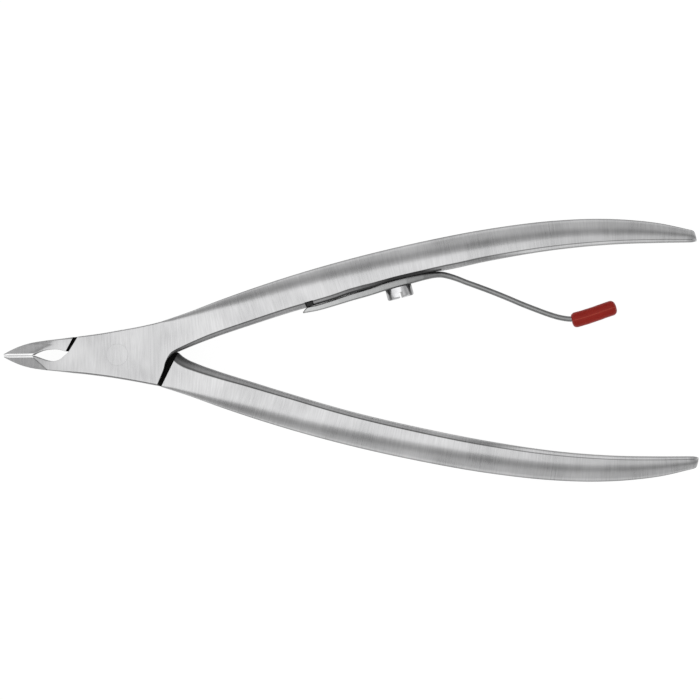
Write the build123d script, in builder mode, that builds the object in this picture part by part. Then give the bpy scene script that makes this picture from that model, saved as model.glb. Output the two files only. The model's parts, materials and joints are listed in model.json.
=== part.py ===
"""Cuticle nipper: two lapped levers on one rivet, with a screwed-on leaf spring that ends in a capped wire.

Millimetres, +Z up. The nipper lies on its back: jaws toward -X, handles toward +X, cutting side up.
Every outline below is drawn from the pivot: "along" runs toward the handle ends, "across" toward +Y.
"""
from build123d import *
from math import cos, radians, sin, tan
import os

# Overall
OVERALL_LENGTH = 120.0
JAW_REACH = 19.8            # pivot to jaw tips
PIVOT_X = JAW_REACH - OVERALL_LENGTH / 2
HANDLE_REACH = OVERALL_LENGTH - JAW_REACH
THICKNESS = 7.0             # both lapped plates together
MID = THICKNESS / 2
LAP_GAP = 0.06              # running gap between the two lapped plates
EDGE_GAP = 0.02             # each cutting edge stops this far from the centre line
CUT_CLEAR = 1.0             # cutting tools reach this far past the metal

# Jaws
TIP_HALF = 0.28             # half width of the blunt tip of the closed jaws
HEEL = -14.8                # where the cutting edge ends and the window between the jaws starts
FACET_SLOPE = 36.0          # front facet, falling outward and toward the tip
FACET_BEARING = -133.0      # direction in which the facet falls
FACET_OFFSET = -0.15        # the facet starts this far outside the centre line
BACK_SLOPE = 30.0           # back of the jaws, rising toward the tip
BACK_START = -13.4
HOLLOW_LAND = 0.7           # depth of the cutting edge before the hollow behind it
HOLLOW_RUN_OUT = 0.6        # the hollow runs out this far past the heel
HOLLOW_HALF = 14.0          # half angle of that hollow
EDGE_FALL = 25.0            # the cutting edge falls toward the tip

# Lever outline
ROOT = 12.6                 # where the flat joint plate ends and the shaped handle starts
PLATE_ROUND = 0.3           # broken edges along the outside of the joint plate
LONG_EDGE = 15.0            # only the two outer sides of the joint plate are longer than this

# Rivet
RIVET_D = 3.2
RIVET_HEAD_D = 3.8
RIVET_HEAD_H = 0.5
RIVET_FIT = 0.01            # radial, in the front lever, which holds it
RUNNING_FIT = 0.03          # radial, in the back lever, which turns on it

# Screw that holds the spring: its head leans with the handle's inner edge
SCREW_AT = (48.7, 11.28)    # centre of the underside of the head
SCREW_AXIS = (-0.246, 0.969)
SCREW_ALONG = (0.969, 0.246)
SCREW_D = 2.5
SCREW_FIT = 0.02
SCREW_LENGTH = 5.2
HEAD_D = 4.6
HEAD_H = 1.95
HEAD_CHAMFER = 0.35
SLOT_W = 0.8
SLOT_DEPTH = 0.9
SLOT_TURN = 25.0
TAPPED_DEPTH = 5.6

# Spring leaf, by its centre line
LEAF_T = 0.95
LEAF_W = 4.0
LEAF_SEAT = 2.6             # flat length each side of the screw
LEAF_HOLE_FIT = 0.05
SEAT_RISE = LEAF_T / 2 + 0.02
SEAT_MIDDLE = (SCREW_AT[0] + SEAT_RISE * SCREW_AXIS[0], SCREW_AT[1] + SEAT_RISE * SCREW_AXIS[1])
SEAT_START = (SEAT_MIDDLE[0] - LEAF_SEAT * SCREW_ALONG[0], SEAT_MIDDLE[1] - LEAF_SEAT * SCREW_ALONG[1])
SEAT_END = (SEAT_MIDDLE[0] + LEAF_SEAT * SCREW_ALONG[0], SEAT_MIDDLE[1] + LEAF_SEAT * SCREW_ALONG[1])
NIB_END = (32.8, 7.48)
NIB_FOLD = (32.35, 7.13)
LEAF_CREST = (55.8, 13.14)
TAPER_SHORT = 2.0           # the leaf is down to the wire's width this far before the flex point

# Spring wire and its cap
FLEX = (59.5, 12.52)        # the spring bends here, between leaf and wire
KNUCKLE_D = 1.0
KNUCKLE_FIT = 0.03
WIRE_D = 0.9
WIRE_KNEE = (77.2, 5.0)
WIRE_END = (85.0, 6.87)
WIRE_BEND = 10.0
WIRE_ALONG = (WIRE_KNEE[0] - FLEX[0], WIRE_KNEE[1] - FLEX[1])
CAP_D = 2.65
CAP_ROUND = 1.1
CAP_FIT = 0.01
CAP_LINE = ((78.5, 5.32), (82.5, 6.17), (86.25, 7.25))

# Handle stations: along, inner edge, outer edge, depth, width and rise of the rounded back, inner bevel
HANDLE_STATIONS = [
    (ROOT, 1.33, 7.34, 7.0, PLATE_ROUND, PLATE_ROUND, 0.10),
    (17.0, 2.98, 9.00, 7.0, 1.30, 0.80, 0.60),
    (23.0, 4.94, 11.11, 7.0, 2.60, 1.60, 0.80),
    (30.0, 7.18, 13.35, 7.0, 3.50, 2.30, 0.80),
    (40.0, 10.18, 16.14, 7.0, 4.20, 3.00, 0.80),
    (52.0, 13.13, 18.92, 7.0, 4.40, 3.40, 0.80),
    (64.0, 15.62, 21.14, 7.0, 4.20, 3.40, 0.80),
    (76.0, 17.52, 22.52, 6.8, 3.80, 3.30, 0.70),
    (86.0, 18.37, 22.68, 6.4, 3.30, 3.10, 0.60),
    (94.0, 18.57, 21.87, 6.0, 2.50, 2.90, 0.50),
    (98.8, 18.57, 20.78, 5.6, 1.60, 2.60, 0.40),
    (HANDLE_REACH, 18.62, 20.05, 4.8, 0.90, 1.80, 0.30),
]

pivot = Plane(origin=(PIVOT_X, 0, 0))
pivot_mid = pivot.offset(MID)
front_facet = Plane(
    origin=(PIVOT_X + HEEL, FACET_OFFSET, THICKNESS),
    z_dir=Vector(0, 0, 1).rotate(Axis.Y, FACET_SLOPE).rotate(Axis.Z, FACET_BEARING),
)
back_facet = Plane(
    origin=(PIVOT_X + BACK_START, 0, 0),
    z_dir=Vector(0, 0, -1).rotate(Axis.Y, BACK_SLOPE),
)
screw_seat = Plane(
    origin=(PIVOT_X + SCREW_AT[0], SCREW_AT[1], MID),
    x_dir=(0, 0, 1),
    z_dir=(*SCREW_AXIS, 0),
)
flex = Plane(origin=(PIVOT_X + FLEX[0], FLEX[1], MID))


def handle_section(along, inner, outer, depth, back, rise, bevel):
    """One cross-section of a handle: flat faces, bevelled inner edges and a rounded outer back."""
    half = depth / 2
    station_plane = Plane(origin=(PIVOT_X + along, 0, MID), x_dir=(0, 1, 0), z_dir=(1, 0, 0))
    with BuildSketch(station_plane) as section:
        with BuildLine():
            Polyline(
                (outer - back, half),
                (inner + bevel, half),
                (inner, half - bevel),
                (inner, bevel - half),
                (inner + bevel, -half),
                (outer - back, -half),
            )
            EllipticalCenterArc((outer - back, rise - half), back, rise, start_angle=-90, arc_size=90)
            Line((outer, rise - half), (outer, half - rise))
            EllipticalCenterArc((outer - back, half - rise), back, rise, start_angle=0, arc_size=90)
        make_face()
    return section.sketch


# Lever before its half is cut away: lower jaw, joint plate, upper handle
with BuildPart() as lever_blank:
    with BuildSketch(pivot):
        with BuildLine():
            Line((-JAW_REACH, -TIP_HALF), (-JAW_REACH, -EDGE_GAP))
            Line((-JAW_REACH, -EDGE_GAP), (HEEL, -EDGE_GAP))
            Spline((HEEL, -EDGE_GAP), (-13.4, -0.56), (-11.4, -1.0), (-9.9, -0.70), (-8.54, 0.44))
            Line((-8.54, 0.44), (-6.8, 3.19))
            Spline((-6.8, 3.19), (-1.3, 3.91), (3.9, 4.82), (8.3, 5.85), (ROOT, 7.34))
            Line((ROOT, 7.34), (ROOT, 1.33))
            Spline((ROOT, 1.33), (10.5, 0.33), (8.9, -0.9), (8.2, -2.22), (7.9, -3.4))
            Line((7.9, -3.4), (6.94, -5.46))
            Spline((6.94, -5.46), (2.2, -4.51), (-3.0, -3.65), (-8.5, -2.96))
            Spline((-8.5, -2.96), (-14.1, -2.38), (-17.0, -1.62), (-JAW_REACH, -TIP_HALF))
        make_face()
    extrude(amount=THICKNESS)
    long_edges = lever_blank.edges().filter_by(lambda edge: edge.length > LONG_EDGE)
    fillet(long_edges, radius=PLATE_ROUND)
    loft([handle_section(*station) for station in HANDLE_STATIONS])
    # Front facet of the jaw, then its back
    split(bisect_by=front_facet, keep=Keep.BOTTOM)
    split(bisect_by=back_facet, keep=Keep.BOTTOM)


def hollow_profile():
    """The V that is hollowed out behind the cutting edge, opening toward the back."""
    deep = THICKNESS + CUT_CLEAR
    half = deep * tan(radians(HOLLOW_HALF))
    edge = Plane(
        origin=(PIVOT_X + HEEL + HOLLOW_RUN_OUT, 0, THICKNESS - HOLLOW_LAND),
        x_dir=(0, 1, 0),
        z_dir=(-cos(radians(EDGE_FALL)), 0, -sin(radians(EDGE_FALL))),
    )
    with BuildSketch(edge) as profile:
        Polygon((0, 0), (half, -deep), (-half, -deep), align=None)
    return profile.sketch


def lap_outline():
    """The area where the other lever's plate lies, up to this lever's two shoulders."""
    with BuildSketch(pivot) as outline:
        with BuildLine():
            Polyline(
                (-10.2, -0.75),
                (-8.9, -0.66),
                (-7.94, -2.41),
                (-7.35, -3.2),
                (-7.35, -8.0),
                (6.0, -8.0),
                (11.1, -0.9),
                (9.8, 1.39),
                (7.2, 6.1),
                (-10.2, 6.1),
                close=True,
            )
        make_face()
    return outline.sketch


def rivet_solid(grow):
    """The joint rivet with a countersunk head on each face, grown all round by a fit."""
    with BuildPart() as rivet:
        with BuildSketch(pivot):
            Circle(RIVET_D / 2 + grow)
        extrude(amount=THICKNESS)
        for face, shoulder in ((0, RIVET_HEAD_H), (THICKNESS, THICKNESS - RIVET_HEAD_H)):
            with BuildSketch(pivot.offset(face)):
                Circle(RIVET_HEAD_D / 2 + grow)
            with BuildSketch(pivot.offset(shoulder)):
                Circle(RIVET_D / 2 + grow)
            loft()
    return rivet.part


def wire_solid(diameter):
    """The bent wire: a straight run down from the leaf, one bend, and a tail for the cap."""
    with BuildPart() as wire:
        with BuildLine(pivot_mid) as path:
            FilletPolyline(FLEX, WIRE_KNEE, WIRE_END, radius=WIRE_BEND)
        with BuildSketch(Plane(origin=path.line @ 0, z_dir=path.line % 0)):
            Circle(diameter / 2)
        sweep()
    return wire.part


# Front lever: keeps the front half of the joint and the rivet, and carries the spring
with BuildPart() as front_lever:
    add(lever_blank.part)
    extrude(hollow_profile(), amount=JAW_REACH, mode=Mode.SUBTRACT)
    extrude(lap_outline(), amount=MID + LAP_GAP / 2, mode=Mode.SUBTRACT)
    add(rivet_solid(RIVET_FIT), mode=Mode.SUBTRACT)
    with BuildSketch(screw_seat):
        Circle(SCREW_D / 2 + SCREW_FIT)
    extrude(amount=TAPPED_DEPTH, mode=Mode.SUBTRACT)
front_lever.part.label = "front_lever"

# Back lever: the mirror image, keeping the back half of the joint and turning on the rivet
with BuildPart() as back_lever:
    add(lever_blank.part.mirror(Plane.XZ))
    extrude(hollow_profile(), amount=JAW_REACH, mode=Mode.SUBTRACT)
    extrude(
        lap_outline().mirror(Plane.XZ).moved(Location((0, 0, MID - LAP_GAP / 2))),
        amount=MID + LAP_GAP,
        dir=(0, 0, 1),
        mode=Mode.SUBTRACT,
    )
    add(rivet_solid(RUNNING_FIT), mode=Mode.SUBTRACT)
back_lever.part.label = "back_lever"

# Rivet, hammered flush into both faces
with BuildPart() as joint_rivet:
    add(rivet_solid(0))
joint_rivet.part.label = "joint_rivet"

# Leaf: folded nib at the jaw end, flat under the screw, then tapering in width to the wire
with BuildPart() as spring_leaf:
    with BuildSketch(pivot_mid):
        with BuildLine():
            Polyline(NIB_END, NIB_FOLD, SEAT_START, SEAT_END)
            Spline(SEAT_END, LEAF_CREST, FLEX, tangents=[SCREW_ALONG, WIRE_ALONG])
        trace(line_width=LEAF_T)
    extrude(amount=LEAF_W / 2, both=True)
    with BuildSketch(Plane.XZ):
        with BuildLine():
            Polyline(
                (PIVOT_X + NIB_FOLD[0] - LEAF_T, MID - LEAF_W / 2),
                (PIVOT_X + SEAT_END[0], MID - LEAF_W / 2),
                (PIVOT_X + FLEX[0] - TAPER_SHORT, MID - KNUCKLE_D / 2),
                (PIVOT_X + FLEX[0], MID - KNUCKLE_D / 2),
                (PIVOT_X + FLEX[0], MID + KNUCKLE_D / 2),
                (PIVOT_X + FLEX[0] - TAPER_SHORT, MID + KNUCKLE_D / 2),
                (PIVOT_X + SEAT_END[0], MID + LEAF_W / 2),
                (PIVOT_X + NIB_FOLD[0] - LEAF_T, MID + LEAF_W / 2),
                close=True,
            )
        make_face()
    extrude(amount=-HANDLE_REACH, mode=Mode.INTERSECT)
    with BuildSketch(flex):
        Circle(KNUCKLE_D / 2 + KNUCKLE_FIT)
    extrude(amount=LEAF_W, both=True, mode=Mode.SUBTRACT)
    with BuildSketch(screw_seat):
        Circle(SCREW_D / 2 + LEAF_HOLE_FIT)
    extrude(amount=LEAF_T * 2, mode=Mode.SUBTRACT)
spring_leaf.part.label = "spring_leaf"

# Wire: it starts in a small round knuckle where the spring flexes
with BuildPart() as spring_wire:
    add(wire_solid(WIRE_D))
    with BuildSketch(flex):
        Circle(KNUCKLE_D / 2)
    extrude(amount=KNUCKLE_D / 2, both=True)
spring_wire.part.label = "spring_wire"

# Cap: a soft sleeve with rounded ends, slipped over the end of the wire
with BuildPart() as spring_cap:
    with BuildLine(pivot_mid) as cap_path:
        ThreePointArc(*CAP_LINE)
    with BuildSketch(Plane(origin=cap_path.line @ 0, z_dir=cap_path.line % 0)):
        Circle(CAP_D / 2)
    sweep()
    fillet(spring_cap.edges().filter_by(GeomType.CIRCLE), radius=CAP_ROUND)
    add(wire_solid(WIRE_D + 2 * CAP_FIT), mode=Mode.SUBTRACT)
spring_cap.part.label = "spring_cap"

# Screw: slotted cheese head under the leaf, shank through it into the handle
with BuildPart() as spring_screw:
    with BuildSketch(screw_seat):
        Circle(HEAD_D / 2)
    extrude(amount=-HEAD_H)
    chamfer(spring_screw.edges().sort_by(Axis.Y)[0], length=HEAD_CHAMFER)
    with BuildSketch(screw_seat.offset(-HEAD_H)):
        Rectangle(HEAD_D * 2, SLOT_W, rotation=SLOT_TURN)
    extrude(amount=SLOT_DEPTH, mode=Mode.SUBTRACT)
    with BuildSketch(screw_seat):
        Circle(SCREW_D / 2)
    extrude(amount=SCREW_LENGTH)
spring_screw.part.label = "spring_screw"

os.makedirs("parts", exist_ok=True)
for piece in (front_lever, back_lever, joint_rivet, spring_leaf, spring_wire, spring_cap, spring_screw):
    export_step(piece.part, f"parts/{piece.part.label}.step")
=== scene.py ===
"""Cuticle nipper: brushed-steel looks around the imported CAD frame.

Lengths are millimetres, and X and Y are measured from the pivot.
"""
import json
import math
import bmesh
import bpy
import numpy as np
from mathutils import Matrix, Vector


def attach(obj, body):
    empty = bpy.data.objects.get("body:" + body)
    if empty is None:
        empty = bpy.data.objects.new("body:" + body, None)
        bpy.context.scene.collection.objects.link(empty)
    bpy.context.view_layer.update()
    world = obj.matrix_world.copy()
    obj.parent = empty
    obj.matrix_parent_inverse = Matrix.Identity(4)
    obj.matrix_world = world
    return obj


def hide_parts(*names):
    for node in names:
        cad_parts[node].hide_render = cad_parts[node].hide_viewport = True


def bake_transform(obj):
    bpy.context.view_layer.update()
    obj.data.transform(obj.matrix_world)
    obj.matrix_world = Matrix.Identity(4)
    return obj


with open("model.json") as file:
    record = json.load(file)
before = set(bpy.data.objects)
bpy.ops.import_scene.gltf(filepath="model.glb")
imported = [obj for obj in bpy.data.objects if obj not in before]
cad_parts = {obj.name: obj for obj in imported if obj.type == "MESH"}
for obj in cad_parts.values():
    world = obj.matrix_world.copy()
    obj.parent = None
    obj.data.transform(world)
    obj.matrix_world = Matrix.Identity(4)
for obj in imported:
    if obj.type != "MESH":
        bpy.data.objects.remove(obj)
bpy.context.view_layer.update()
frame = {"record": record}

MM = 0.001
joints = {joint["name"]: joint for joint in frame["record"]["behaviour"]["joints"]}
PIVOT = np.array(joints["lever_pivot"]["pos_m"]) / MM
MID = PIVOT[2]                   # middle of the nipper's thickness
LAP = 0.03                       # each plate stops this far from the middle

# Corners of the front lever's outline, from the pivot. The back lever is mirrored in Y
TIP = (-19.8, -0.02)
TIP_CORNER = (-19.8, -0.28)
HEEL = (-14.8, -0.02)
RIDGE = (-12.25, -2.57)          # the facet's ridge runs from the heel to here
JAW_SHOULDER = (-7.62, -3.10)
PLATE_CORNER = (-6.80, 3.19)
PLATE_HEEL = (6.92, -5.44)
PLATE_KNEE = (7.78, -3.45)
HANDLE_SHOULDER = (7.50, 5.62)
HANDLE_END = (99.4, 18.60)       # where the inner edge and the back meet the rounded end
HANDLE_BACK_END = (99.5, 20.62)

# Spans are the stretches of a lever that spans() lists, counted from the jaw's tip
JAW_SPAN, LAP_FIRST, LAP_LAST, HANDLE_SPAN = 0, 2, 6, 7
GROUND_SPANS = (0, 1)                           # the facets reach over these
WINDOW_SPANS = (1, 2, 3)                        # the handle side is a crisp edge on these
GAP_WALLS = {3: "handle", 5: "jaw", 6: "jaw"}   # an edge of these faces the other lever, and is painted dark as shade

# What differs between the levers: the window's edge up to the jaw's shoulder and on to the plate's
# corner, the edge from the knee to the handle's shoulder, and the inner edge of the handle
FRONT_EDGES = (
    [HEEL, (-14.0, -0.32), (-13.1, -0.66), (-12.4, -0.88), (-11.4, -1.03), (-10.0, -0.74),
     (-9.2, -0.15)],
    (-8.54, 0.44),
    [(-8.54, 0.44), PLATE_CORNER],
    [PLATE_KNEE, (8.06, -2.70), (8.30, -1.75), (8.75, -0.82), (9.42, -0.05), (10.35, 0.42)],
    [(10.35, 0.42), (12.56, 1.33), (17, 2.98), (23, 4.94), (30, 7.12), (34.5, 8.38), (37.5, 9.25),
     (40, 10.10), (44, 11.22), (46.5, 12.10), (50, 12.97), (53.5, 13.70), (57, 14.19), (64, 15.62),
     (76, 17.52), (86, 18.37), (94, 18.57), HANDLE_END],
)
BACK_EDGES = (
    [HEEL, (-14.0, -0.46), (-13.1, -0.80), (-11.3, -1.02), (-10.0, -0.94), (-8.95, -0.66)],
    (-8.45, -0.60),
    [(-8.45, -0.60), (-8.52, 0.44), (-7.6, 1.95), PLATE_CORNER],
    [PLATE_KNEE, (8.06, -2.70), (8.30, -1.90), (8.75, -1.20), (9.42, -0.65), (10.42, -0.20)],
    [(10.42, -0.20), (10.9, 0.28), (11.72, 0.85), (13.6, 1.72), (17, 2.98), (23, 4.94), (30, 7.18),
     (40, 10.18), (52, 13.13), (64, 15.62), (76, 17.52), (86, 18.37), (94, 18.57), HANDLE_END],
)
HANDLE_BACK = [
    HANDLE_SHOULDER, (12.6, 7.34), (17, 9.00), (23, 11.11), (30, 13.35), (40, 16.14), (52, 18.92),
    (64, 21.14), (76, 22.52), (82, 22.76), (88, 22.57), (94, 21.87), HANDLE_BACK_END,
]


def spans(window, lap_corner, lap_edge, knee, inner):
    """Station counts with the points along the jaw side and along the handle side of each stretch."""
    return [
        (110, [TIP_CORNER, (-18.7, -0.86), (-17.0, -1.60), (-15.2, -2.12), (-13.6, -2.40), RIDGE],
              [TIP, HEEL]),
        (60, [RIDGE, (-9.9, -2.82), JAW_SHOULDER], window),
        (8, [JAW_SHOULDER, (-6.9, -3.17)], [window[-1], lap_corner]),
        (24, [(-6.9, -3.17), (-5.4, -3.34)], lap_edge),
        (60, [(-5.4, -3.34), (-1.26, -3.91), (2.2, -4.51), PLATE_HEEL],
             [PLATE_CORNER, (-3.0, 3.66), (0.5, 4.23), (3.2, 4.68)]),
        (16, [PLATE_HEEL, PLATE_KNEE], [(3.2, 4.68), (4.6, 4.96)]),
        (40, knee, [(4.6, 4.96), (6.0, 5.25), HANDLE_SHOULDER]),
        (440, inner, HANDLE_BACK),
        (24, [HANDLE_END, (99.8, 18.62), (100.2, 18.70)],
             [HANDLE_BACK_END, (99.82, 20.40), (100.02, 19.90), (100.2, 18.9)]),
    ]


# Shape along a lever, by the distance from the pivot: half its height, and the widths of its rounded
# back and of the bevel on its other edge
HALF_DEPTH = ((-20, 3.49), (68, 3.49), (78, 3.38), (86, 3.2), (94, 3.0), (98.8, 2.8), (100.2, 2.5))
CROWN_W = ((-20, 0.2), (-9, 0.3), (7.6, 0.3), (9, 0.7), (12.6, 1.2), (16, 1.8), (20, 2.5), (26, 3.1),
           (32, 3.4), (40, 3.8), (48, 4.0), (62, 4.1), (70, 4.0), (78, 3.8), (86, 3.6), (92, 3.0),
           (97, 2.2), (100, 1.7))
CROWN_BEND = ((10, 0.95), (26, 0.88), (40, 0.78), (55, 0.68), (97, 0.58))   # share that curves
CROWN_TILT = math.radians(42)    # slope of a rounded back beyond its curved share
PLATE_BEVEL = ((-20, 0.3), (8.6, 0.3))
HANDLE_BEVEL = ((62, 0.8), (76, 0.65), (94, 0.5), (100.2, 0.4))
BEVEL = (*PLATE_BEVEL, (10.6, 0.55), (16, 0.72), (30, 0.8), *HANDLE_BEVEL)
SEAT_BEVEL = (*PLATE_BEVEL, (10.6, 0.50), (16, 0.72), (30, 0.8), (43, 0.8), (46.5, 0.5), (53, 0.5),
              (57, 0.8), *HANDLE_BEVEL)
WIDE_BEVEL = (*PLATE_BEVEL, (10.4, 1.45), (14, 1.25), (22, 0.95), (30, 0.8), *HANDLE_BEVEL)
BEVEL_SLOPES = np.radians((45, 44, 43, 41, 38, 34, 30))        # from the wall up to the face
BEVEL_TILT = ((-20, 1), (58, 1), (72, 0.25), (101, 0.25))      # share of those slopes
# Painted shade from 0 to 1 along a lever, where it lies in shadow or reflects dark surroundings: of a
# bevel, darkest near the joint where the other lever shades it, of the faces, and of the seat under the
# leaf, which the leaf shadows
BEVEL_SHADE = ((-20, 0.45), (8.6, 0.5), (10.3, 0.9), (11.2, 0.65), (14, 0.3), (22, 0.08), (40, 0.0))
HANDLE_SHADE = ((-5, 0.11), (0, 0.05), (6, 0.03), (12, 0), (62, 0), (70, 0.06), (78, 0.19),
                (86, 0.26), (92, 0.20), (100, 0.15))
FRONT_SHADE = ((-14, 0.36), (-12.4, 0.34), (-10.5, 0.20), (-8.5, 0.12), *HANDLE_SHADE)
BACK_SHADE = ((-12.7, 0.0), (-11.9, 0.20), (-10.9, 0.18), (-10.3, 0.12), *HANDLE_SHADE)
SEAT_SHADE = ((33, 0.0), (34, 0.05), (40, 0.35), (44, 0.75), (47, 1.0), (53, 1.0), (56, 0.3), (59, 0.0))
SEAT = (32.85, 56.0)             # the leaf lies along this stretch of the inner edge
# Painted shade of the fine dark lines at a bevel's top, at the foot of a rounded back and along a jaw,
# standing for dark reflections
FACE_SHADE_LINE, WALL_SHADE_LINE, JAW_SHADE_LINE = 0.7, 0.45, 0.3
FOOT_POINTS = 3                  # points of a rounded back that its foot's painted shade line takes
NIB_NOTCH = (32.85, 33.95, 0.55)   # from, to and depth of the notch that takes the spring's nib; its bevel is painted black as shade
EDGE_ROOM = 0.45                 # widest share of a section or of its height that an edge takes
PLATE_SHARE = 0.2                # widest share of a section that a bevel takes before the handle
CUT_EDGE, WINDOW_EDGE, JAW_EDGE = 0.03, 0.06, 0.08   # widths of the crisp edges
LAND_DROP = 0.06                 # how far the land falls away at the very edge
HANDLE_CORE = 0.5                # what the rounded backs leave of a handle's half height
PLATE_DROP = 0.2                 # the most that a plate's edge is rounded off
BRUSH_TURN = (8, 16)             # where the brush lines start to turn, and the length of the turn
RIDGE_SHADE_LINE = 0.10                # half the width of the painted dark line along a facet's ridge
SHIFT_RUN = 1.6                  # the ridge's shift grows over this distance from the cutting edge
# Each jaw's facet: its tilt, the rounding of its ridge, the ridge's shift and the painted shade of its
# ridge line
FRONT_FACET = (math.radians(36), 0.10, 0.12, 0.55)
BACK_FACET = (math.radians(30), 0.40, 1.0, 0.0)
BACK_START = -13.4               # from here to the tip the jaws' backs are ground
BACK_SLOPE = math.tan(math.radians(30))
EDGE_LAND = 0.32                 # width of the honed land along the cutting edge
EDGE_DEPTH = 0.7                 # depth of the cutting edge before the hollow behind it
HOLLOW = math.tan(math.radians(14))   # lean of that hollow's wall
NIB_SHEAR = 1.12                 # slant of the cut at the spring's nib
LEAF_SHADE_LINE, NIB_SHADE_LINE = 0.35, 0.8  # painted shade of the fine dark line along the leaf's edge and of its cut end
LEAF_SHADE_LINE_AT = (-0.4, -0.2)      # where that line lies across the leaf, from -1 to 1
NIB_FADE = 0.12                  # the cut end's painted shade fades over this distance
CAP_SEAM, SEAM_WIDTH = 0.02, 0.05   # height of the cap's moulding line, and its share of the radius; the line is also painted paler as a highlight
CAP_LENGTH = 7.98
CAP_MOUTH, CAP_TIP = (0.75, 0.50), (0.85, 0.34)   # length of each rounded end, and its share of full size
SCREW_AT, SCREW_AXIS = (48.6, 11.28, 0), (-0.246, 0.969, 0)   # under the head, and into the lever
HEAD_R, HEAD_H, HEAD_EASE = 2.3, 1.95, 0.32   # the screw's head, with its rounded rim
SHANK_R, SHANK_END = 1.24, 5.19
ROOT_R = SHANK_R - 0.2
THREAD_START, PITCH, TURNS = 0.2, 0.45, 11
THREAD = ((SHANK_R, 0.0), (ROOT_R, 0.20), (ROOT_R, 0.25), (SHANK_R, 0.43))   # radius, rise in a turn
SLOT_LENGTH, SLOT_WIDTH, SLOT_DEPTH = 6, 0.62, 1.0
SLOT_TURN = 4                    # the screw slot's turn from square to the spring, in degrees
FLANK_SHADE_AT, FLANK_SHADE_WIDTH = 54, 11     # where the painted shade lies round the screw's head, in degrees, standing for dark reflections on its flanks
RIVET_R = 1.88
RIVET_FACE = MID - 0.003         # from the middle, a hair above the plates
RING_WIDTH, RING_SHADE = 0.05, 0.14   # the fine ring round the rivet
PLATE_HALF = 4.2                 # from the pivot to the jaw side of the plate
BEVEL_POINTS = 10                # points across a bevel, across a face, and across a rounded back
INTERIOR = 22
CROWN_POINTS = 14
RING = BEVEL_POINTS + INTERIOR + CROWN_POINTS
FACE, HONED, INSIDE_FACE = 0, 1, 2   # a lever's materials, in the order of its slots


def distances(points):
    """Distance travelled along the points, from 0 at the first."""
    steps = np.linalg.norm(np.diff(np.array(points), axis=0), axis=1)
    return np.concatenate([[0], np.cumsum(steps)])


def along(points, count):
    """count points evenly along a smooth curve through the given ones."""
    points = np.array(points, float)
    if len(points) > 2:
        ends = np.vstack([2 * points[0] - points[1], points, 2 * points[-1] - points[-2]])
        knots = distances(ends)
        fine = []
        for i in range(1, len(ends) - 2):
            p0, p1, p2, p3 = ends[i - 1:i + 3]
            t0, t1, t2, t3 = knots[i - 1:i + 3]
            for t in np.linspace(t1, t2, 24, endpoint=False):
                a1 = p0 + (p1 - p0) * (t - t0) / (t1 - t0)
                a2 = p1 + (p2 - p1) * (t - t1) / (t2 - t1)
                a3 = p2 + (p3 - p2) * (t - t2) / (t3 - t2)
                b1 = a1 + (a2 - a1) * (t - t0) / (t2 - t0)
                b2 = a2 + (a3 - a2) * (t - t1) / (t3 - t1)
                fine.append(b1 + (b2 - b1) * (t - t1) / (t2 - t1))
        points = np.array(fine + [points[-1]])
    length = distances(points)
    wanted = np.linspace(0, length[-1], count)
    return np.column_stack([np.interp(wanted, length, points[:, i]) for i in range(2)])


def at(table, where):
    """Read a table of (distance, value) pairs."""
    return np.interp(where, [row[0] for row in table], [row[1] for row in table])


def bevel_points(width, room, tilt=1.0):
    """A bevel that grows flatter toward the face, its wall corner eased: (distance in, drop) pairs."""
    width = min(width, room)
    steps = np.linspace(0, width, len(BEVEL_SLOPES) + 1)
    rises = np.diff(steps) * np.tan(BEVEL_SLOPES * tilt)
    drops = rises.sum() - np.concatenate([[0], np.cumsum(rises)])
    ease = 0.12 * width
    points = [(0, drops[0] + ease), (0.25 * ease, drops[0] + 0.3 * ease)]
    points += list(zip(steps[1:], drops[1:]))
    return points + [(width + ease, 0)]


def crown_points(width, bend, room, most):
    """A rounded back from the wall up to the face: (distance in, drop) pairs."""
    width = min(width, room)
    fine = np.linspace(0, 1, 200)
    slope = np.tan(CROWN_TILT * np.clip(fine / bend, 0, 1))
    fall = np.concatenate([[0], np.cumsum((slope[1:] + slope[:-1]) / 2)]) * width / (len(fine) - 1)
    fall *= min(1, most / fall[-1])
    from_face = np.linspace(0, 1, CROWN_POINTS - 2)
    points = [(width * (1 - t), float(np.interp(t, fine, fall))) for t in from_face[::-1]]
    ease = 0.06 * width
    deepest = points[0][1]
    points[0] = (0.35 * ease, deepest + 0.25 * ease)
    return [(0, deepest + 2.4 * ease), (0.05 * ease, deepest + 1.2 * ease)] + points


def honed_land(place):
    """Width of the honed land along the cutting edge, which narrows a little at the tip."""
    return min(EDGE_LAND, 0.22 * (place[0] - TIP[0]) + 0.14)


def facet_depth(place, shift):
    """Distance from the facet's ridge to a place on the jaw, positive on the facet.

    shift moves the ridge toward the pivot away from the cutting edge.
    """
    start, end = np.array(HEEL), np.array(RIDGE)
    run = (end - start) / np.linalg.norm(end - start)
    fall = np.array([run[1], -run[0]])
    land = honed_land(place)
    deep = float(np.dot(np.array([place[0], min(place[1], HEEL[1] - land)]) - start, fall))
    return deep + shift * float(np.clip((-place[1] - land) / SHIFT_RUN, 0, 1))


def facet_drop(place, tilt, soft, shift):
    """How far the ground facet lies below the front face at a place on the jaw; soft rounds its ridge."""
    return math.tan(tilt) * soft * np.logaddexp(0, facet_depth(place, shift) / soft)


def brush_heading(centre, last_centre):
    """Direction across the brush lines: along X at the joint, then turning to follow the handle."""
    start, length = BRUSH_TURN
    turn = np.clip((centre[0] - start) / length, 0, 1)
    turn = turn * turn * (3 - 2 * turn)
    step = (centre - last_centre) / (np.linalg.norm(centre - last_centre) + 1e-9)
    heading = np.array([1.0, 0.0]) * (1 - turn) + step * turn
    return heading / np.linalg.norm(heading)


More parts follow.
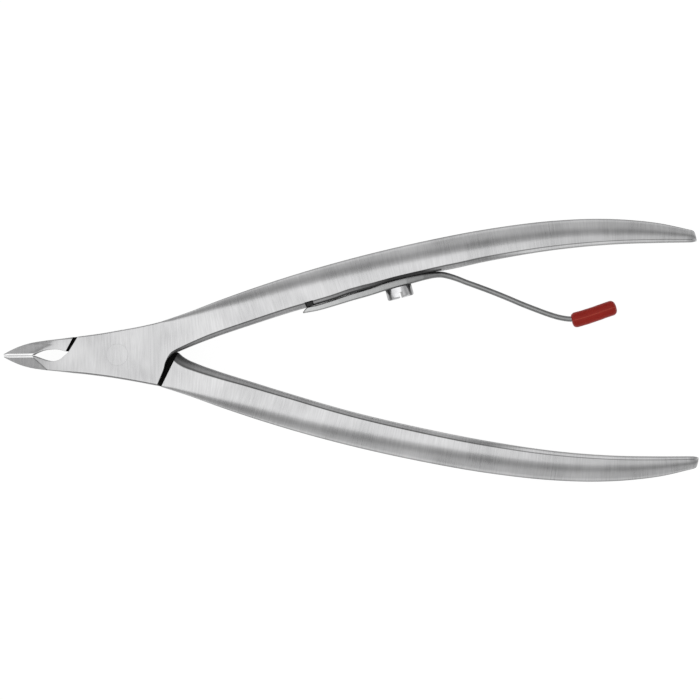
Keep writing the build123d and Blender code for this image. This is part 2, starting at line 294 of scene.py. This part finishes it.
def lever(name, side, lap_front, facet, edges, bevels, face_shade):
    """A whole lever as one closed mesh: sections across it, joined from the jaw tip to the handle end.

    side is +1 with the handle toward +Y. lap_front says that the front half is cut away at the joint.
    bevels holds the tables of bevel widths for the front and for the back, and face_shade the painted
    shade along the faces.
    """
    sections, marks, grain = [], [], []
    travelled, last_centre = 0.0, None
    for span, (count, jaw_side, handle_side) in enumerate(spans(*edges)):
        lows, highs = along(jaw_side, count), along(handle_side, count)
        lapped = LAP_FIRST <= span <= LAP_LAST
        # A span's first station repeats the one before it, and is kept only at a step in height
        first = 0 if span in (0, LAP_FIRST, LAP_LAST + 1) else 1
        for low, high in zip(lows[first:], highs[first:]):
            loop, shades = section(span, low, high, lapped, lap_front, facet, bevels, face_shade)
            centre = (low + high) / 2
            if last_centre is None:
                heading, travelled = np.array([1.0, 0.0]), centre[0]
            else:
                heading = brush_heading(centre, last_centre)
                travelled += float(np.dot(centre - last_centre, heading))
            last_centre = centre
            across = [travelled + float(np.dot(np.array(p[:2]) - centre, heading)) for p in loop]
            grain.append(np.column_stack([across, distances(loop), shades]))
            sections.append([(x, side * y, z) for x, y, z in loop])
            marks.append([(span, z) for x, y, z in loop])
    return build_lever(name, np.array(sections), marks, np.concatenate(grain))


def hollow_reach(height, room):
    """How far the hollow behind the cutting edge reaches in from it."""
    return min(max(0.02, height - EDGE_DEPTH) * HOLLOW, room)


def edge_shapes(span, low, high, height, back, cut, bevel_table):
    """Edges of a section's front or back at the jaw side and the handle side: (distance in, drop) pairs.

    cut says that the face lies inside the joint. A drop of None is on the hollow of the jaw's back.
    """
    length = np.linalg.norm(high - low)
    room = length * EDGE_ROOM
    bevel, crown = at(bevel_table, low[0]), at(CROWN_W, high[0])
    if cut:
        bevel = crown = CUT_EDGE
    if span < HANDLE_SPAN - 1:
        bevel = min(bevel, PLATE_SHARE * length)
    if span in WINDOW_SPANS:
        crown = WINDOW_EDGE
    near = bevel_points(min(bevel, height * EDGE_ROOM), room, at(BEVEL_TILT, low[0]))
    most = height / 2 - HANDLE_CORE if span >= HANDLE_SPAN else PLATE_DROP
    far = crown_points(crown, at(CROWN_BEND, high[0]), length - near[-1][0] - 0.02, most)
    if span == JAW_SPAN and back:
        far = [(hollow_reach(height, room) * t, None) for t in np.linspace(0, 1, CROWN_POINTS)]
    elif span == JAW_SPAN:
        slant = abs((high - low)[1] / length)
        land = min(honed_land(high) / max(slant, 0.1), 0.55 * length)
        near = bevel_points(min(JAW_EDGE, 0.2 * length), room)
        far = [(land * t, LAND_DROP * (1 - t) ** 6) for t in np.linspace(0, 1, CROWN_POINTS)]
    return near, far


def bevel_shades(span, where, seat, notched):
    """Painted shade at each point of a bevel, from the wall up; seat says that the leaf can lie on it and
    shadow it.
    """
    shades = np.full(BEVEL_POINTS, JAW_SHADE_LINE if span == JAW_SPAN else at(BEVEL_SHADE, where))
    if span == HANDLE_SPAN:
        # painted dark line at the bevel's top
        shades[-3:-1] = np.maximum(shades[-3:-1], FACE_SHADE_LINE)
    if span == HANDLE_SPAN and seat:
        shades = np.maximum(shades, at(SEAT_SHADE, where))
        if SEAT[0] < where < SEAT[1]:
            # painted black shadow where the leaf meets the handle's wall
            shades[:4] = 1
    if notched:
        # the notch is painted black as shade
        shades[:] = 1
    shades[-1] = 0
    return shades


def section(span, low, high, lapped, lap_front, facet, bevels, face_shade):
    """One closed loop across the lever, front first, with a painted shade from 0 to 1 for each point.

    low and high are its ends at the jaw side and the handle side. lapped says that it is in the joint.
    """
    length = np.linalg.norm(high - low)
    run = (high - low) / length
    depth = at(HALF_DEPTH, high[0])
    top = MID - LAP if lapped and lap_front else MID + depth
    bottom = MID + LAP if lapped and not lap_front else MID - depth
    height = top - bottom
    notched = span == HANDLE_SPAN and not lap_front and NIB_NOTCH[0] < low[0] < NIB_NOTCH[1]
    rings = []
    for back, bevel_table in ((False, bevels[0]), (True, bevels[1])):
        cut = lapped and back != lap_front
        near, far = edge_shapes(span, low, high, height, back, cut, bevel_table)
        if notched:
            near = [(d, drop + NIB_NOTCH[2]) for d, drop in near[:-1]] + near[-1:]
        shades = bevel_shades(span, low[0], not lap_front and not back, notched)
        ring = [(d, drop, shade) for (d, drop), shade in zip(near, shades)]
        inside = np.linspace(near[-1][0], length - far[-1][0], INTERIOR + 2)[1:-1]
        # painted shade along the faces, none on the jaw
        dims = at(face_shade, low[0] + run[0] * inside) * (span != JAW_SPAN)
        ring += [(d, 0, dim) for d, dim in zip(inside, dims)]
        # painted dark line at the foot of a rounded back, with the face's painted shade fading across the
        # back
        foot = WALL_SHADE_LINE if span >= HANDLE_SPAN - 1 else 0
        rims = np.linspace(0, dims[-1], len(far)) + foot * (np.arange(len(far)) < FOOT_POINTS)
        ring += [(length - d, drop, rim) for (d, drop), rim in zip(reversed(far), rims[::-1])]
        rings.append(ring)
    loop, loop_shades = [], []
    for back, ring in ((False, rings[0]), (True, rings[1][::-1])):
        for d, drop, shade in ring:
            place = low + run * d
            front_z, back_z = top, bottom
            if span in GROUND_SPANS:
                front_z = top - facet_drop(place, *facet[:3])
                back_z = bottom + max(0, BACK_START - place[0]) * BACK_SLOPE
            if not back:
                z = front_z - drop
            elif drop is None:
                edge_z = front_z - min(EDGE_DEPTH, 0.6 * (front_z - back_z))
                reach = hollow_reach(height, length * EDGE_ROOM)
                z = edge_z + (back_z - edge_z) * (length - d) / reach
            else:
                z = min(back_z + drop, front_z - 0.01)
            # painted dark line along the facet's ridge
            if span in GROUND_SPANS and not back:
                from_ridge = facet_depth(place, facet[2]) / RIDGE_SHADE_LINE
                shade = max(shade, facet[3] * math.exp(-from_ridge ** 2))
            loop.append((place[0], place[1], z))
            loop_shades.append(shade)
    return loop, loop_shades


def skin(rows, columns):
    """Faces that join each ring of points to the next one."""
    faces = []
    for i in range(rows - 1):
        for j in range(columns):
            k = (j + 1) % columns
            here, there = i * columns, (i + 1) * columns
            faces.append((here + j, here + k, there + k, there + j))
    return faces


def end_faces(rows, columns):
    """Faces that close the first ring and the last one."""
    return [tuple(range(columns)), tuple(range((rows - 1) * columns, rows * columns))]


def build_lever(name, sections, marks, grain):
    """Skin the sections, close both ends and sort the faces into brushed, honed and dark ones, the dark
    ones painted shade.
    """
    rows, columns = sections.shape[:2]
    points = (sections.reshape(-1, 3) + np.array([PIVOT[0], PIVOT[1], 0])) * MM
    kinds = []
    for here, there in zip(marks, marks[1:]):
        for j in range(columns):
            k = (j + 1) % columns
            kinds.append(face_kind((here[j], there[j], here[k], there[k]), j))
    kinds += [FACE, FACE]
    mesh = bpy.data.meshes.new(name)
    mesh.from_pydata(points.tolist(), [], skin(rows, columns) + end_faces(rows, columns))
    set_grain(mesh, grain)
    mesh.polygons.foreach_set("material_index", kinds)
    tidy(mesh)
    return new_object(name, mesh)


def face_kind(corners, column):
    """Brushed, honed at the cutting edge, or painted dark as shade inside the joint and on walls facing
    the other lever, by the corners' spans and heights.
    """
    (span, z), (next_span, next_z) = corners[:2]
    if span == JAW_SPAN and RING - CROWN_POINTS <= column < RING - 1:
        return HONED
    near_middle = all(abs(corner_z - MID) < 0.2 for _, corner_z in corners)
    if LAP_FIRST <= span <= LAP_LAST and near_middle:
        return INSIDE_FACE
    if span != next_span and {span, next_span} & {LAP_FIRST, LAP_LAST + 1} and abs(z - next_z) > 1:
        return INSIDE_FACE
    walls = {"handle": RING - 1, "jaw": 2 * RING - 1}
    return INSIDE_FACE if walls.get(GAP_WALLS.get(span)) == column else FACE


def tidy(mesh, angle=30, join=2e-6):
    """Merge doubled points, drop empty faces, face outward and mark sharp edges."""
    work = bmesh.new()
    work.from_mesh(mesh)
    bmesh.ops.remove_doubles(work, verts=work.verts, dist=join)
    bmesh.ops.dissolve_degenerate(work, edges=work.edges, dist=join)
    bmesh.ops.recalc_face_normals(work, faces=work.faces)
    work.to_mesh(mesh)
    work.free()
    mesh.polygons.foreach_set("use_smooth", [True] * len(mesh.polygons))
    mesh.set_sharp_from_angle(angle=math.radians(angle))


def set_grain(mesh, grain):
    """Give each point its place in the finish: across the brush lines, along them, and a painted shade.
    """
    attribute = mesh.attributes.new("grain", "FLOAT_VECTOR", "POINT")
    attribute.data.foreach_set("vector", np.array(grain, np.float32).ravel())


def places_of(mesh):
    """The mesh's points in millimetres."""
    places = np.empty(len(mesh.vertices) * 3)
    mesh.vertices.foreach_get("co", places)
    return places.reshape(-1, 3) / MM


def new_object(name, mesh):
    """Put the mesh into the scene as an object of the same name."""
    obj = bpy.data.objects.new(name, mesh)
    bpy.context.collection.objects.link(obj)
    return obj


def tube(name, centres, widths, depths, squareness, around=32, shear=None, shades=None, seam=0.0):
    """A closed mesh swept along centres in the XY plane: width lies in the plane, depth along Z.

    A squareness of 2 is an ellipse, and more is squarer. shear slants each section along the sweep,
    and shades paint shade on it. A tube with no seam has painted shade at its start and, where it is
    square, a fine painted dark line along it. A seam is the height of a line raised along the top and
    bottom, which is painted paler instead, as a highlight.
    """
    centres = np.array(centres, float)
    tangents = np.gradient(centres, axis=0)
    tangents /= np.linalg.norm(tangents, axis=1)[:, None]
    angles = np.linspace(0, 2 * math.pi, around, endpoint=False)
    distance = distances(centres)
    shear = np.zeros(len(centres)) if shear is None else shear
    shades = np.zeros(len(centres)) if shades is None else shades
    points, grain = [], []
    rows = zip(centres, tangents, widths, depths, squareness, distance, shear, shades)
    for centre, tangent, wide, deep, square, s, slant, shade in rows:
        normal = np.array([-tangent[1], tangent[0]])
        for angle in angles:
            c, n = math.cos(angle), math.sin(angle)
            # the seam's line, raised and also painted paler as a highlight
            line = math.exp(-(c / SEAM_WIDTH) ** 2) if seam else 0.0
            a = math.copysign(abs(c) ** (2 / square), c) * wide / 2
            b = math.copysign(abs(n) ** (2 / square), n) * (deep / 2 + seam * line)
            points.append((*(centre + normal * a + tangent * slant * a), b))
            # a painted dark line along the leaf's edge, and painted shade at the cut end
            on_line = LEAF_SHADE_LINE_AT[0] < c < LEAF_SHADE_LINE_AT[1]
            edge = LEAF_SHADE_LINE * min(1, max(0, (square - 4) / 4)) * on_line
            edge += NIB_SHADE_LINE * math.exp(-s / NIB_FADE)
            grain.append((s, angle * deep / 2, line if seam else min(1, shade + edge)))
    faces = skin(len(centres), around) + end_faces(len(centres), around)
    mesh = bpy.data.meshes.new(name)
    mesh.from_pydata(((np.array(points) + PIVOT) * MM).tolist(), [], faces)
    set_grain(mesh, grain)
    tidy(mesh, angle=40)
    return new_object(name, mesh)


def lathe(name, profile, around=96):
    """A closed mesh turned about +Z, from (radius, height) pairs that start and end on the axis."""
    mesh = bpy.data.meshes.new(name)
    points = []
    for radius, height in profile:
        for i in range(around):
            angle = 2 * math.pi * i / around
            points.append((radius * math.cos(angle), radius * math.sin(angle), height))
    mesh.from_pydata((np.array(points) * MM).tolist(), [], skin(len(profile), around))
    tidy(mesh, angle=35)
    return new_object(name, mesh)


def spring_piece():
    """Slanted nib, flat leaf under the screw, then a wire that is bent down and up into the cap."""
    route = [(32.30, 7.36), (34.5, 7.80), (37.5, 8.645), (40.3, 9.52), (43.8, 10.52), (46.06, 11.27),
             (48.57, 11.96), (51.09, 12.58), (53.4, 13.10), (55.0, 13.36), (56.2, 13.36), (57.4, 13.09),
             (58.8, 12.63), (60.3, 12.02), (62.2, 11.32), (64.8, 10.32), (67.4, 9.25), (70.0, 8.12),
             (72.5, 7.12), (74.8, 6.26), (76.6, 5.72), (78.3, 5.46), (80.4, 5.64), (83.4, 6.52)]
    centres = along(route, 480)
    where = centres[:, 0]
    distance = distances(centres)
    thick = np.interp(where, [32.4, 34.5, 37.5, 40.3, 43.8, 46.06, 48.57, 51.09, 53.4, 55.6, 58, 60],
                      [0.86, 0.98, 1.05, 1.16, 1.24, 1.36, 1.36, 1.30, 1.16, 1.06, 0.98, 0.93])
    thick *= np.interp(distance, [0, 0.05, 0.14, 0.3], [0.62, 0.84, 0.96, 1.0])
    deep = np.interp(where, [32, 46, 50, 53, 56, 58, 60, 78], [4.0, 4.0, 3.7, 2.9, 1.7, 1.15, 0.95, 0.92])
    deep *= np.interp(distance, [0, 0.07, 0.18], [0.94, 0.98, 1.0])
    square = np.interp(where, [32, 50, 55, 60], [9, 9, 3.0, 2.0])
    shear = np.interp(distance, [0, 3.5], [NIB_SHEAR, 0])
    # painted shade, darker from the nib toward the wire
    shades = np.interp(where, [32, 34, 40, 46, 52, 56, 60], [0.0, 0.06, 0.22, 0.42, 0.50, 0.55, 0.55])
    return tube("spring", centres, thick, deep, square, around=48, shear=shear, shades=shades)


def rounded_end(distance, length, share):
    """Share of full size at a distance from a rounded end: share at the end, growing to 1 over length."""
    round_part = np.sqrt(np.clip(1 - ((length - distance) / length).clip(0) ** 2, 0, 1))
    return share + (1 - share) * round_part


def cap_piece():
    """The dipped sleeve: rounded ends, a fine raised moulding line painted paler as a highlight, and a
    slightly uneven wall.
    """
    line = along([(78.66, 5.14), (80.3, 5.56), (82.5, 6.24), (84.4, 6.90), (86.32, 7.52)], 120)
    t = np.linspace(0, 1, len(line))
    body = np.interp(t, [0, 0.12, 0.5, 0.88, 1], [2.60, 2.66, 2.62, 2.62, 2.58])
    shape = rounded_end(t * CAP_LENGTH, *CAP_MOUTH) * rounded_end((1 - t) * CAP_LENGTH, *CAP_TIP)
    wave = 1 + 0.004 * np.sin(t * 23) + 0.003 * np.sin(t * 41 + 1)
    size = body * shape * wave
    return tube("cap", line, size, size * 0.985, np.full(len(line), 2.0), around=128, seam=CAP_SEAM)


def screw_piece():
    """Slotted cheese head over a threaded shank, made upright and then laid into the lever."""
    rim = [(HEAD_R - HEAD_EASE + HEAD_EASE * math.sin(a), -HEAD_H + HEAD_EASE - HEAD_EASE * math.cos(a))
           for a in np.linspace(0, math.pi / 2, 7)]
    foot = [(HEAD_R, -0.10), (HEAD_R - 0.03, -0.03), (HEAD_R - 0.10, 0.0)]
    thread = []
    for turn in range(TURNS):
        thread += [(radius, THREAD_START + turn * PITCH + rise) for radius, rise in THREAD]
    profile = [(0.0, -HEAD_H), (HEAD_R - HEAD_EASE - 0.6, -HEAD_H)] + rim + foot
    profile += [(SHANK_R, 0.0)] + thread + [(0.9, SHANK_END - 0.01), (0.0, SHANK_END)]
    screw = lathe("screw", profile)
    bpy.ops.mesh.primitive_cube_add(size=1)
    cutter = bpy.context.object
    cutter.scale = (SLOT_LENGTH * MM, SLOT_WIDTH * MM, 2 * SLOT_DEPTH * MM)
    cutter.rotation_euler = (0, 0, math.radians(SLOT_TURN))
    cutter.location = (0, 0, -HEAD_H * MM)
    slot = screw.modifiers.new("slot", "BOOLEAN")
    slot.object = cutter
    slot.solver = "EXACT"
    edge = screw.modifiers.new("edge", "BEVEL")
    edge.width = 0.05 * MM
    edge.segments = 2
    edge.limit_method = "ANGLE"
    edge.angle_limit = math.radians(50)
    apply_modifiers(screw)
    bpy.data.objects.remove(cutter, do_unlink=True)
    places = places_of(screw.data)
    # Painted shade down the head's flanks, where reflections would darken them
    around = np.degrees(np.arctan2(np.abs(places[:, 1]), places[:, 0]))
    flank = np.hypot(places[:, 0], places[:, 1]) > HEAD_R - 0.2
    flank_shade = np.exp(-((around - FLANK_SHADE_AT) / FLANK_SHADE_WIDTH) ** 2) * flank
    attribute = screw.data.attributes.new("flank_shade", "FLOAT", "POINT")
    attribute.data.foreach_set("value", flank_shade.astype(np.float32))
    inward = Vector(SCREW_AXIS).normalized()
    upward = Vector((0, 0, 1))
    turn = Matrix((upward, inward.cross(upward), inward)).transposed().to_4x4()
    turn.translation = Vector(((PIVOT + np.array(SCREW_AT)) * MM).tolist())
    screw.data.transform(turn)
    tidy(screw.data, angle=30)
    return screw


def rivet_piece():
    """The flush rivet: its faces are brushed with the plates, with a fine ring round each."""
    profile = [(radius, -RIVET_FACE) for radius in (0.0, 0.6, 1.2, RIVET_R - 0.07)]
    profile += [(RIVET_R - 0.02, -RIVET_FACE + 0.006), (RIVET_R, -RIVET_FACE + 0.02)]
    profile += [(radius, -height) for radius, height in reversed(profile)]
    rivet = lathe("rivet", profile, around=128)
    places = places_of(rivet.data)
    ring = np.hypot(places[:, 0], places[:, 1]) > RIVET_R - RING_WIDTH
    set_grain(rivet.data, np.column_stack([places[:, 0], places[:, 1] + PLATE_HALF, ring * RING_SHADE]))
    rivet.data.transform(Matrix.Translation(Vector((PIVOT * MM).tolist())))
    return rivet


def apply_modifiers(obj):
    """Replace the object's mesh by the one that its modifiers give."""
    bpy.context.view_layer.update()
    graph = bpy.context.evaluated_depsgraph_get()
    mesh = bpy.data.meshes.new_from_object(obj.evaluated_get(graph))
    obj.modifiers.clear()
    obj.data = mesh


# Materials
RIM_TINT = (0.35, 0.35, 0.35, 1)   # holds down the bright rim that steel shows at grazing angles


class Nodes:
    """Short names for building one material's nodes."""

    def __init__(self, name):
        self.material = bpy.data.materials.new(name)
        self.material.use_nodes = True
        self.tree = self.material.node_tree
        self.shader = self.tree.nodes["Principled BSDF"]

    def add(self, kind, inputs=None, **settings):
        node = self.tree.nodes.new(kind)
        for key, value in settings.items():
            setattr(node, key, value)
        for key, value in (inputs or {}).items():
            if isinstance(value, bpy.types.NodeSocket):
                self.tree.links.new(value, node.inputs[key])
            else:
                node.inputs[key].default_value = value
        return node

    def link(self, output, key):
        self.tree.links.new(output, self.shader.inputs[key])

    def set(self, **values):
        for key, value in values.items():
            self.shader.inputs[key.replace("_", " ")].default_value = value

    def noise(self, vector, scale, detail=3.0, rough=0.6):
        stretched = self.add("ShaderNodeVectorMath", {0: vector, 1: scale}, operation="MULTIPLY")
        inputs = {"Vector": stretched.outputs[0], "Scale": 1.0, "Detail": detail, "Roughness": rough}
        return self.add("ShaderNodeTexNoise", inputs).outputs["Fac"]

    def mix(self, factor, a, b):
        node = self.add("ShaderNodeMix", data_type="RGBA")
        self.tree.links.new(factor, node.inputs[0])
        node.inputs[6].default_value = (*a, 1)
        node.inputs[7].default_value = (*b, 1)
        return node.outputs[2]

    def blend(self, factor, a, b):
        """Mix two colours that are themselves outputs of nodes."""
        node = self.add("ShaderNodeMix", data_type="RGBA")
        for output, socket in ((factor, 0), (a, 6), (b, 7)):
            self.tree.links.new(output, node.inputs[socket])
        return node.outputs[2]

    def ranged(self, value, low, high, from_low=0.3, from_high=0.7):
        inputs = {"Value": value, "From Min": from_low, "From Max": from_high}
        inputs |= {"To Min": low, "To Max": high}
        return self.add("ShaderNodeMapRange", inputs).outputs["Result"]


def brushed_steel(name, dark, light, rough, lines=1.0, bump=0.25, shaded=0.13):
    """Steel with fine brush lines across the piece, from its own grain coordinates in millimetres.

    The grain's third value is painted shade: where it is 1, the colour is down to the shaded share.
    """
    n = Nodes(name)
    grain = n.add("ShaderNodeAttribute", attribute_name="grain").outputs["Vector"]
    shade = n.add("ShaderNodeSeparateXYZ", {0: grain}).outputs["Z"]
    fine = n.noise(grain, (9.0 * lines, 0.35, 0), 4, 0.7)
    broad = n.noise(grain, (3.4 * lines, 0.20, 0), 3, 0.6)
    cloud = n.noise(grain, (0.10, 0.10, 0), 2, 0.5)
    streak = n.add("ShaderNodeMath", {0: fine, 1: broad}, operation="ADD").outputs[0]
    streak = n.add("ShaderNodeMath", {0: streak, 1: 0.5}, operation="MULTIPLY").outputs[0]
    both = n.add("ShaderNodeMath", {0: streak, 1: cloud}, operation="ADD").outputs[0]
    spread = n.ranged(both, 0, 1, 0.78, 1.22)
    plain = n.mix(spread, dark, light)
    dimmed = n.mix(spread, [c * shaded for c in dark], [c * shaded for c in light])
    n.link(n.blend(shade, plain, dimmed), "Base Color")
    n.link(n.ranged(both, rough[0], rough[1], 0.78, 1.22), "Roughness")
    height = n.add("ShaderNodeBump", {"Height": streak, "Strength": bump, "Distance": 0.00002})
    n.link(height.outputs[0], "Normal")
    n.set(Metallic=1.0, Specular_Tint=RIM_TINT)
    return n.material


def honed_steel():
    """Cutting edge: finer and brighter, with faint stoning marks."""
    n = Nodes("honed_edge")
    grain = n.add("ShaderNodeAttribute", attribute_name="grain").outputs["Vector"]
    marks = n.noise(grain, (14, 1.5, 0), 3, 0.6)
    n.link(n.mix(n.ranged(marks, 0, 1), (0.96, 0.96, 0.965), (1.0, 1.0, 1.0)), "Base Color")
    n.link(n.ranged(marks, 0.14, 0.22), "Roughness")
    n.set(Metallic=1.0)
    return n.material


def joint_shade_steel():
    """Faces inside the joint and walls facing the other lever: near-black painted shade, never polished.
    """
    n = Nodes("joint_painted_shade")
    where = n.add("ShaderNodeNewGeometry").outputs["Position"]
    # faint mottle in the painted shade
    scale = n.noise(where, (900, 900, 900), 4, 0.6)
    n.link(n.mix(n.ranged(scale, 0, 1), (0.004, 0.004, 0.005), (0.018, 0.017, 0.016)), "Base Color")
    n.link(n.ranged(scale, 0.55, 0.8), "Roughness")
    n.set(Metallic=0.0, Specular_IOR_Level=0.2)
    return n.material


def red_vinyl():
    """Dipped soft vinyl: even red with a faint mottling, a satin skin and a raised moulding line painted
    paler as a highlight.
    """
    n = Nodes("red_vinyl")
    where = n.add("ShaderNodeNewGeometry").outputs["Position"]
    grain = n.add("ShaderNodeAttribute", attribute_name="grain").outputs["Vector"]
    line = n.add("ShaderNodeSeparateXYZ", {0: grain}).outputs["Z"]
    mottle = n.noise(where, (500, 500, 500), 3, 0.55)
    skin = n.noise(where, (3500, 3500, 3500), 2, 0.5)
    body = n.mix(n.ranged(mottle, 0, 1), (0.30, 0.013, 0.007), (0.36, 0.018, 0.010))
    # painted highlight colour along the moulding line
    seam_highlight = n.mix(n.ranged(mottle, 0, 1), (0.42, 0.050, 0.028), (0.48, 0.065, 0.038))
    n.link(n.blend(line, body, seam_highlight), "Base Color")
    n.link(n.ranged(mottle, 0.42, 0.55), "Roughness")
    height = n.add("ShaderNodeBump", {"Height": skin, "Strength": 0.15, "Distance": 0.00003})
    n.link(height.outputs[0], "Normal")
    n.set(Specular_IOR_Level=0.22, Subsurface_Weight=0.05, Subsurface_Scale=0.001)
    return n.material


def screw_steel():
    """Polished, with a soft haze and painted shade down the flanks of the head, standing for dark
    reflections.
    """
    n = Nodes("polished_screw")
    where = n.add("ShaderNodeNewGeometry").outputs["Position"]
    haze = n.noise(where, (1500, 1500, 1500), 3, 0.5)
    flank_shade = n.add("ShaderNodeAttribute", attribute_name="flank_shade").outputs["Fac"]
    bright = n.mix(n.ranged(haze, 0, 1), (0.66, 0.66, 0.67), (0.80, 0.80, 0.81))
    # painted shade colour for the flanks
    shaded_flank_colour = n.mix(n.ranged(haze, 0, 1), (0.10, 0.10, 0.10), (0.14, 0.14, 0.14))
    n.link(n.blend(flank_shade, bright, shaded_flank_colour), "Base Color")
    n.link(n.ranged(haze, 0.12, 0.22), "Roughness")
    n.set(Metallic=1.0, Specular_Tint=RIM_TINT)
    return n.material


DARK_LINES, LIGHT_LINES = (0.46, 0.46, 0.465), (0.69, 0.69, 0.695)
LEVER = brushed_steel("lever_steel", DARK_LINES, LIGHT_LINES, (0.25, 0.35), bump=0.5)
RIVET = brushed_steel("rivet_steel", DARK_LINES, LIGHT_LINES, (0.25, 0.35), bump=0.5)
SPRING = brushed_steel("spring_steel", (0.46, 0.465, 0.465), (0.66, 0.665, 0.665), (0.26, 0.40),
                       lines=0.6, bump=0.4, shaded=0.15)
EDGE = honed_steel()
INSIDE = joint_shade_steel()

front = lever("front_lever_body", 1, False, FRONT_FACET, FRONT_EDGES, (SEAT_BEVEL, SEAT_BEVEL),
              FRONT_SHADE)
back = lever("back_lever_body", -1, True, BACK_FACET, BACK_EDGES, (WIDE_BEVEL, BEVEL), BACK_SHADE)
for piece, body, node in ((front, "front_half", "front_lever"), (back, "back_half", "back_lever")):
    for material in (LEVER, EDGE, INSIDE):
        piece.data.materials.append(material)
    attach(piece, body)
    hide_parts(node)

rivet = rivet_piece()
rivet.data.materials.append(RIVET)
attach(rivet, "front_half")
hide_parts("joint_rivet")

spring = spring_piece()
spring.data.materials.append(SPRING)
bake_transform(spring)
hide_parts("spring_leaf", "spring_wire")

screw = screw_piece()
screw.data.materials.append(screw_steel())
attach(screw, "front_half")
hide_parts("spring_screw")

cap = cap_piece()
cap.data.materials.append(red_vinyl())
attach(cap, "spring_arm")
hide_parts("spring_cap")


# Stage: pale floor, a long overhead light, a darker band round it and a pale horizon
def floor():
    """A matt plane that glows, and less so farther from the object."""
    bpy.ops.mesh.primitive_plane_add(size=4, location=(0, 0, -0.0002))
    plane = bpy.context.object
    plane.name = "floor"
    n = Nodes("pale_floor")
    where = n.add("ShaderNodeNewGeometry").outputs["Position"]
    away = n.add("ShaderNodeVectorMath", {0: where}, operation="LENGTH").outputs["Value"]
    near, far = (0.10, 0.965), (0.40, 0.40)   # metres from the middle, and the glow there
    glow = n.ranged(away, near[1], far[1], near[0], far[0])
    n.set(Base_Color=(0.08, 0.08, 0.08, 1), Roughness=1.0, Specular_IOR_Level=0.0,
          Emission_Color=(1, 1, 1, 1))
    n.link(glow, "Emission Strength")
    plane.data.materials.append(n.material)


def studio():
    """A grey world, brightest overhead and with a darker band above the horizon, and a long light."""
    world = bpy.data.worlds.new("studio")
    bpy.context.scene.world = world
    world.use_nodes = True
    tree = world.node_tree
    sky = tree.nodes["Background"]
    place = tree.nodes.new("ShaderNodeTexCoord")
    split = tree.nodes.new("ShaderNodeSeparateXYZ")
    tree.links.new(place.outputs["Generated"], split.inputs[0])
    ramp = tree.nodes.new("ShaderNodeValToRGB")
    tree.links.new(split.outputs["Z"], ramp.inputs[0])
    stops = ((0.0, 0.62), (0.25, 0.60), (0.38, 0.42), (0.60, 0.38), (0.76, 0.58), (1.0, 0.72))
    while len(ramp.color_ramp.elements) < len(stops):
        ramp.color_ramp.elements.new(0.5)
    for element, (where, value) in zip(ramp.color_ramp.elements, stops):
        element.position = where
        element.color = (value, value, value, 1)
    tree.links.new(ramp.outputs["Color"], sky.inputs["Color"])
    light = bpy.data.lights.new("overhead", "AREA")
    light.shape = "RECTANGLE"
    light.size, light.size_y = 1.05, 0.42
    light.energy = 0.77
    overhead = bpy.data.objects.new("overhead", light)
    bpy.context.collection.objects.link(overhead)
    overhead.location = (-0.43, 0, 0.34)


def camera_above():
    """Straight down on the front, turned by half a degree, with the length just filling the frame."""
    camera = bpy.data.cameras.new("camera")
    holder = bpy.data.objects.new("camera", camera)
    bpy.context.collection.objects.link(holder)
    distance, frame_width, frame_height = 0.70, 0.1211, 0.005   # the width that is seen at that height
    camera.sensor_width = 36
    camera.lens = camera.sensor_width * (distance - frame_height) / frame_width
    camera.clip_start = 0.01
    holder.location = (-0.00006, 0.00044, distance)
    holder.rotation_euler = (0, 0, math.radians(-0.53))
    bpy.context.scene.camera = holder


floor()
studio()
camera_above()
bpy.context.scene.view_settings.view_transform = "Standard"
